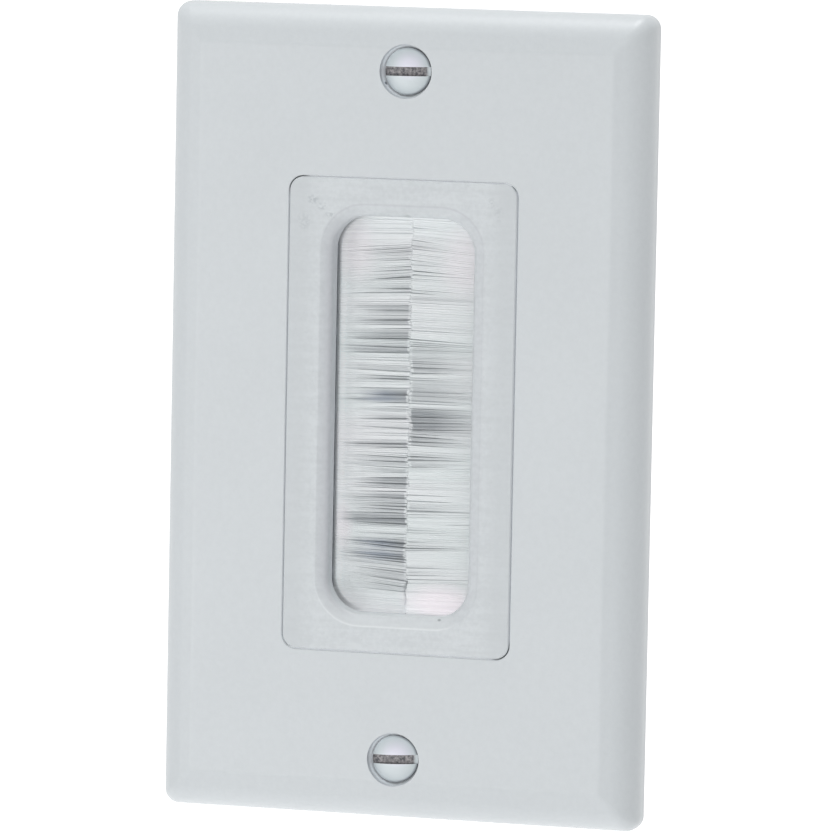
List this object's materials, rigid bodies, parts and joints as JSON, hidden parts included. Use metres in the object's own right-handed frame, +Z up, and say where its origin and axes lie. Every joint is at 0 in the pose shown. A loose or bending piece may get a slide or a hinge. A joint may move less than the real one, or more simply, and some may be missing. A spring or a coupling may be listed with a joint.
{
  "type": "brush pass-through wall plate",
  "caption": "Upright white wall plate with a rolled bevel and a framed insert whose facing brush strips let cables pass through, held by slotted screws.",
  "frame": {"origin": "centre of the plate's rear rim, in the plane of the wall", "axes": "+Z up along the plate, +Y into the wall, +X to the right of someone facing the plate"},
  "size_m": [0.0698, 0.0233, 0.1142],
  "materials": {
    "plate_plastic": "cool white moulded plastic with a fine satin texture",
    "insert_plastic": "cool white moulded plastic, faintly speckled and scuffed",
    "retainer_plastic": "plain white moulded plastic",
    "channel_steel": "folded galvanised strip",
    "wire_steel": "drawn wire",
    "bristle_nylon": "translucent white nylon filaments",
    "painted_screw": "white painted head with bare steel in the slot",
    "zinc_screw": "zinc-plated steel",
    "clamp_screw_steel": "zinc-plated steel",
    "washer_fibre": "red-brown pressed fibre"
  },
  "bodies": {
    "root": {"wall_plate": "plate_plastic", "insert_frame": "insert_plastic", "rear_retainer": "retainer_plastic", "left_brush_channel": "channel_steel", "right_brush_channel": "channel_steel", "left_core_wire": "wire_steel", "right_core_wire": "wire_steel", "left_bristles": "bristle_nylon", "right_bristles": "bristle_nylon", "upper_plate_screw": "painted_screw", "lower_plate_screw": "painted_screw", "upper_mounting_screw": "zinc_screw", "lower_mounting_screw": "zinc_screw", "upper_screw_washer": "washer_fibre", "lower_screw_washer": "washer_fibre", "upper_left_clamp_screw": "clamp_screw_steel", "upper_right_clamp_screw": "clamp_screw_steel", "lower_left_clamp_screw": "clamp_screw_steel", "lower_right_clamp_screw": "clamp_screw_steel"}
  },
  "joints": []
}
